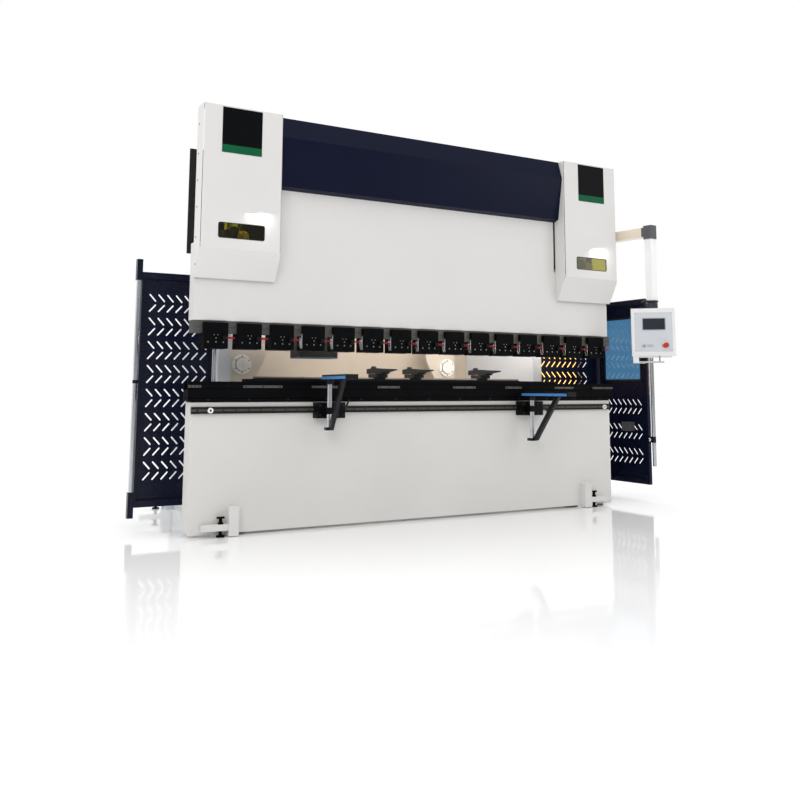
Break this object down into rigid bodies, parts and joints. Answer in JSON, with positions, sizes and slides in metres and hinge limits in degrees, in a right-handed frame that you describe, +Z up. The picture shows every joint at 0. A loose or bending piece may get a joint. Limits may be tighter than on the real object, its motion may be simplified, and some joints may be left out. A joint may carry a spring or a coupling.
{
  "type": "press brake",
  "caption": "Hydraulic press brake: long ram with quick clamps over a bed with a multi-vee die, cylinder covers, slotted side guards, backgauge, front supports and a swinging control box.",
  "frame": {"origin": "on the floor, at the middle of the four anchor holes in the feet of the side frames", "axes": "+X to the operator's right along the bed, +Y to the rear, +Z up"},
  "size_m": [3.909, 1.8932, 2.516],
  "materials": {
    "cream_paint": "satin powder coat, warm light grey",
    "navy_paint": "satin powder coat, dark navy",
    "dark_paint": "dark grey enamel",
    "beige_paint": "satin enamel, ivory",
    "black_oxide": "black oxide on machined steel",
    "ground_steel": "ground, lightly oiled",
    "hard_chrome": "polished hard chrome",
    "tinted_acrylic": "yellow-green tinted acrylic",
    "blue_polycarbonate": "blue tinted polycarbonate",
    "red_plastic": "moulded red",
    "grey_plastic": "moulded light grey",
    "aluminium_profile": "extruded, satin anodised"
  },
  "bodies": {
    "machine": {"left_frame": "cream_paint", "right_frame": "cream_paint", "bed_beam": "cream_paint", "foot_brackets": "cream_paint", "levelling_feet": "black_oxide", "rear_crossbeams": "cream_paint", "oil_tank": "cream_paint", "drive_motors": "dark_paint", "cylinder_barrels": "dark_paint", "left_cylinder_cover": "cream_paint", "right_cylinder_cover": "cream_paint", "cover_windows": "tinted_acrylic", "top_cover": "navy_paint", "die_holder": "black_oxide", "die_clamp_bars": "ground_steel", "multi_vee_die": "black_oxide", "front_rail": "ground_steel", "ram_guides": "ground_steel", "right_wing_guard": "navy_paint", "rear_panel": "beige_paint", "electrical_cabinet": "cream_paint", "gauge_brackets": "cream_paint"},
    "ram": {"ram_beam": "cream_paint", "clamp_rail": "ground_steel", "upper_clamps": "black_oxide", "cylinder_rods": "hard_chrome"},
    "left_guard": {"left_wing_guard": "navy_paint"},
    "side_door": {"side_door": "navy_paint", "side_door_window": "blue_polycarbonate"},
    "cabinet_door": {"cabinet_door": "cream_paint"},
    "gauge": {"gauge_beam": "black_oxide"},
    "gauge_screw": {"gauge_screw": "ground_steel"},
    "finger_left": {"gauge_finger_left": "ground_steel"},
    "finger_middle": {"gauge_finger_middle": "ground_steel"},
    "finger_right": {"gauge_finger_right": "ground_steel"},
    "carriage_left": {"support_carriage_left": "black_oxide"},
    "carriage_right": {"support_carriage_right": "black_oxide"},
    "arm_left": {"support_arm_left": "black_oxide"},
    "arm_right": {"support_arm_right": "black_oxide"},
    "boom": {"pendant_boom": "aluminium_profile"},
    "pendant": {"pendant_box": "cream_paint"},
    "e_stop": {"emergency_stop": "red_plastic"},
    "start": {"start_button": "grey_plastic"},
    "stop": {"stop_button": "grey_plastic"},
    "key": {"key_switch": "hard_chrome"},
    "lever_01": {"clamp_lever_01": "red_plastic"},
    "lever_02": {"clamp_lever_02": "red_plastic"},
    "lever_03": {"clamp_lever_03": "red_plastic"},
    "lever_04": {"clamp_lever_04": "red_plastic"},
    "lever_05": {"clamp_lever_05": "red_plastic"},
    "lever_06": {"clamp_lever_06": "red_plastic"},
    "lever_07": {"clamp_lever_07": "red_plastic"},
    "lever_08": {"clamp_lever_08": "red_plastic"},
    "lever_09": {"clamp_lever_09": "red_plastic"},
    "lever_10": {"clamp_lever_10": "red_plastic"},
    "lever_11": {"clamp_lever_11": "red_plastic"},
    "lever_12": {"clamp_lever_12": "red_plastic"},
    "lever_13": {"clamp_lever_13": "red_plastic"},
    "lever_14": {"clamp_lever_14": "red_plastic"},
    "lever_15": {"clamp_lever_15": "red_plastic"}
  },
  "joints": [
    {"name": "ram_stroke", "type": "slide", "parent": "machine", "child": "ram", "axis": [0, 0, 1], "range_m": [-0.14, 0.05]},
    {"name": "clamp_lever_turn_01", "type": "hinge", "parent": "ram", "child": "lever_01", "pos_m": [-1.4185, -0.787, 1.138], "axis": [0, -1, 0], "range_deg": [0, 80]},
    {"name": "clamp_lever_turn_02", "type": "hinge", "parent": "ram", "child": "lever_02", "pos_m": [-1.209, -0.787, 1.138], "axis": [0, -1, 0], "range_deg": [0, 80]},
    {"name": "clamp_lever_turn_03", "type": "hinge", "parent": "ram", "child": "lever_03", "pos_m": [-0.9995, -0.787, 1.138], "axis": [0, -1, 0], "range_deg": [0, 80]},
    {"name": "clamp_lever_turn_04", "type": "hinge", "parent": "ram", "child": "lever_04", "pos_m": [-0.79, -0.787, 1.138], "axis": [0, -1, 0], "range_deg": [0, 80]},
    {"name": "clamp_lever_turn_05", "type": "hinge", "parent": "ram", "child": "lever_05", "pos_m": [-0.5805, -0.787, 1.138], "axis": [0, -1, 0], "range_deg": [0, 80]},
    {"name": "clamp_lever_turn_06", "type": "hinge", "parent": "ram", "child": "lever_06", "pos_m": [-0.371, -0.787, 1.138], "axis": [0, -1, 0], "range_deg": [0, 80]},
    {"name": "clamp_lever_turn_07", "type": "hinge", "parent": "ram", "child": "lever_07", "pos_m": [-0.1615, -0.787, 1.138], "axis": [0, -1, 0], "range_deg": [0, 80]},
    {"name": "clamp_lever_turn_08", "type": "hinge", "parent": "ram", "child": "lever_08", "pos_m": [0.048, -0.787, 1.138], "axis": [0, -1, 0], "range_deg": [0, 80]},
    {"name": "clamp_lever_turn_09", "type": "hinge", "parent": "ram", "child": "lever_09", "pos_m": [0.2575, -0.787, 1.138], "axis": [0, -1, 0], "range_deg": [0, 80]},
    {"name": "clamp_lever_turn_10", "type": "hinge", "parent": "ram", "child": "lever_10", "pos_m": [0.467, -0.787, 1.138], "axis": [0, -1, 0], "range_deg": [0, 80]},
    {"name": "clamp_lever_turn_11", "type": "hinge", "parent": "ram", "child": "lever_11", "pos_m": [0.6765, -0.787, 1.138], "axis": [0, -1, 0], "range_deg": [0, 80]},
    {"name": "clamp_lever_turn_12", "type": "hinge", "parent": "ram", "child": "lever_12", "pos_m": [0.886, -0.787, 1.138], "axis": [0, -1, 0], "range_deg": [0, 80]},
    {"name": "clamp_lever_turn_13", "type": "hinge", "parent": "ram", "child": "lever_13", "pos_m": [1.0955, -0.787, 1.138], "axis": [0, -1, 0], "range_deg": [0, 80]},
    {"name": "clamp_lever_turn_14", "type": "hinge", "parent": "ram", "child": "lever_14", "pos_m": [1.305, -0.787, 1.138], "axis": [0, -1, 0], "range_deg": [0, 80]},
    {"name": "clamp_lever_turn_15", "type": "hinge", "parent": "ram", "child": "lever_15", "pos_m": [1.5145, -0.787, 1.138], "axis": [0, -1, 0], "range_deg": [0, 80]},
    {"name": "gauge_travel", "type": "slide", "parent": "machine", "child": "gauge", "axis": [0, 1, 0], "range_m": [-0.25, 0.38]},
    {"name": "gauge_screw_turn", "type": "hinge", "parent": "machine", "child": "gauge_screw", "pos_m": [0, -0.15, 0.81], "axis": [0, 1, 0], "range_deg": [-4600, 6900]},
    {"name": "finger_slide_left", "type": "slide", "parent": "gauge", "child": "finger_left", "axis": [1, 0, 0], "range_m": [-0.85, 0.1]},
    {"name": "finger_slide_middle", "type": "slide", "parent": "gauge", "child": "finger_middle", "axis": [1, 0, 0], "range_m": [-0.1, 0.3]},
    {"name": "finger_slide_right", "type": "slide", "parent": "gauge", "child": "finger_right", "axis": [1, 0, 0], "range_m": [-0.155, 0.145]},
    {"name": "support_slide_left", "type": "slide", "parent": "machine", "child": "carriage_left", "axis": [1, 0, 0], "range_m": [-0.6, 0.6]},
    {"name": "support_lift_left", "type": "slide", "parent": "carriage_left", "child": "arm_left", "axis": [0, 0, 1], "range_m": [-0.115, 0]},
    {"name": "support_slide_right", "type": "slide", "parent": "machine", "child": "carriage_right", "axis": [1, 0, 0], "range_m": [-0.6, 0.55]},
    {"name": "support_lift_right", "type": "slide", "parent": "carriage_right", "child": "arm_right", "axis": [0, 0, 1], "range_m": [0, 0.115]},
    {"name": "left_guard_swing", "type": "hinge", "parent": "machine", "child": "left_guard", "pos_m": [-1.318, -0.31, 0.8], "axis": [0, 0, 1], "range_deg": [-85, 0]},
    {"name": "side_door_swing", "type": "hinge", "parent": "machine", "child": "side_door", "pos_m": [2.066, -0.175, 0.8], "axis": [0, 0, 1], "range_deg": [0, 90]},
    {"name": "cabinet_door_swing", "type": "hinge", "parent": "machine", "child": "cabinet_door", "pos_m": [1.892, 0.498, 1], "axis": [0, 0, 1], "range_deg": [0, 110]},
    {"name": "boom_swing", "type": "hinge", "parent": "machine", "child": "boom", "pos_m": [1.64, -0.07, 2], "axis": [0, 0, 1], "range_deg": [-5, 12]},
    {"name": "pendant_turn", "type": "hinge", "parent": "boom", "child": "pendant", "pos_m": [1.78, -1.045, 1.45], "axis": [0, 0, 1], "range_deg": [-60, 60]},
    {"name": "e_stop_push", "type": "slide", "parent": "pendant", "child": "e_stop", "axis": [0.7071, 0.7071, 0], "range_m": [0, 0.0035]},
    {"name": "start_push", "type": "slide", "parent": "pendant", "child": "start", "axis": [0.7071, 0.7071, 0], "range_m": [0, 0.003], "stiffness_N_per_m": 300},
    {"name": "stop_push", "type": "slide", "parent": "pendant", "child": "stop", "axis": [0.7071, 0.7071, 0], "range_m": [0, 0.003], "stiffness_N_per_m": 300},
    {"name": "key_turn", "type": "hinge", "parent": "pendant", "child": "key", "pos_m": [1.68454, -1.04429, 1.162], "axis": [-0.7071, -0.7071, 0], "range_deg": [0, 90]}
  ],
  "couplings": [
    {"joint": "gauge_screw_turn", "follows": "gauge_travel", "rad_per_m": 314.16}
  ]
}
